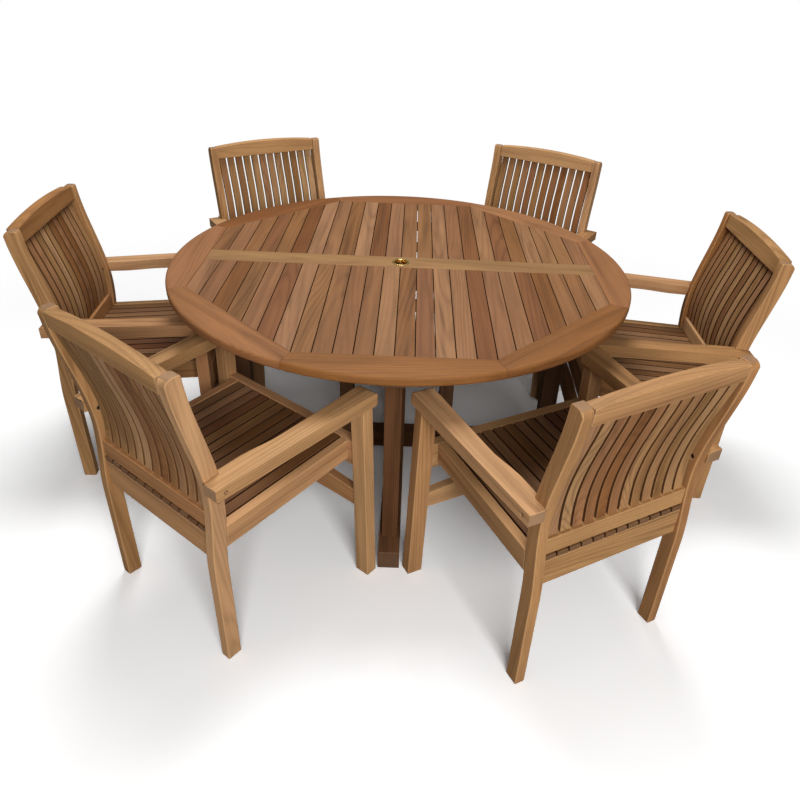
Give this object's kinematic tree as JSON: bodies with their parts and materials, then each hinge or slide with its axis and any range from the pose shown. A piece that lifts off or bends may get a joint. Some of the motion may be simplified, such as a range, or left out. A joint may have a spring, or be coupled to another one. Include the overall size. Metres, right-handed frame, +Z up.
{
  "type": "patio dining set",
  "caption": "Round slatted teak garden table with a brass-lined parasol hole and slatted armchairs with raked backs that pull out from under it.",
  "frame": {"origin": "on the floor under the middle of the table, on the underside of the floor cross", "axes": "+Z up, +X along the table's centre rail, -Y towards the front pair of chairs"},
  "size_m": [2.3419, 2.2124, 0.901],
  "materials": {
    "teak_top": "oiled",
    "teak_rim": "oiled",
    "teak_rail": "oiled",
    "teak_base": "oiled",
    "teak_chair": "oiled",
    "teak_chair_slats": "oiled",
    "brass": "satin",
    "steel": "zinc plated"
  },
  "bodies": {
    "table": {"rim_segments": "teak_rim", "centre_rail": "teak_rail", "top_slats": "teak_top", "parasol_bush": "brass", "slat_battens": "teak_base", "top_beam_x": "teak_base", "top_beam_y": "teak_base", "outer_posts": "teak_base", "inner_posts": "teak_base", "floor_beam_x": "teak_base", "floor_beam_y": "teak_base", "base_bolts": "steel"},
    "chair_1": {"chair_1_rear_legs": "teak_chair", "chair_1_front_legs": "teak_chair", "chair_1_arms": "teak_chair", "chair_1_back_rails": "teak_chair", "chair_1_back_slats": "teak_chair_slats", "chair_1_seat_rails": "teak_chair", "chair_1_seat_slats": "teak_chair_slats", "chair_1_arm_bolts": "steel"},
    "chair_2": {"chair_2_rear_legs": "teak_chair", "chair_2_front_legs": "teak_chair", "chair_2_arms": "teak_chair", "chair_2_back_rails": "teak_chair", "chair_2_back_slats": "teak_chair_slats", "chair_2_seat_rails": "teak_chair", "chair_2_seat_slats": "teak_chair_slats", "chair_2_arm_bolts": "steel"},
    "chair_3": {"chair_3_rear_legs": "teak_chair", "chair_3_front_legs": "teak_chair", "chair_3_arms": "teak_chair", "chair_3_back_rails": "teak_chair", "chair_3_back_slats": "teak_chair_slats", "chair_3_seat_rails": "teak_chair", "chair_3_seat_slats": "teak_chair_slats", "chair_3_arm_bolts": "steel"},
    "chair_4": {"chair_4_rear_legs": "teak_chair", "chair_4_front_legs": "teak_chair", "chair_4_arms": "teak_chair", "chair_4_back_rails": "teak_chair", "chair_4_back_slats": "teak_chair_slats", "chair_4_seat_rails": "teak_chair", "chair_4_seat_slats": "teak_chair_slats", "chair_4_arm_bolts": "steel"},
    "chair_5": {"chair_5_rear_legs": "teak_chair", "chair_5_front_legs": "teak_chair", "chair_5_arms": "teak_chair", "chair_5_back_rails": "teak_chair", "chair_5_back_slats": "teak_chair_slats", "chair_5_seat_rails": "teak_chair", "chair_5_seat_slats": "teak_chair_slats", "chair_5_arm_bolts": "steel"},
    "chair_6": {"chair_6_rear_legs": "teak_chair", "chair_6_front_legs": "teak_chair", "chair_6_arms": "teak_chair", "chair_6_back_rails": "teak_chair", "chair_6_back_slats": "teak_chair_slats", "chair_6_seat_rails": "teak_chair", "chair_6_seat_slats": "teak_chair_slats", "chair_6_arm_bolts": "steel"}
  },
  "joints": [
    {"name": "chair_1_pull", "type": "slide", "parent": "table", "child": "chair_1", "axis": [0.9997, -0.0262, 0], "range_m": [0, 0.45]},
    {"name": "chair_2_pull", "type": "slide", "parent": "table", "child": "chair_2", "axis": [0.5225, 0.8526, 0], "range_m": [0, 0.45]},
    {"name": "chair_3_pull", "type": "slide", "parent": "table", "child": "chair_3", "axis": [-0.5373, 0.8434, 0], "range_m": [0, 0.45]},
    {"name": "chair_4_pull", "type": "slide", "parent": "table", "child": "chair_4", "axis": [-0.9976, -0.0698, 0], "range_m": [0, 0.45]},
    {"name": "chair_5_pull", "type": "slide", "parent": "table", "child": "chair_5", "axis": [-0.6157, -0.788, 0], "range_m": [0, 0.45]},
    {"name": "chair_6_pull", "type": "slide", "parent": "table", "child": "chair_6", "axis": [0.4695, -0.8829, 0], "range_m": [0, 0.45]}
  ]
}
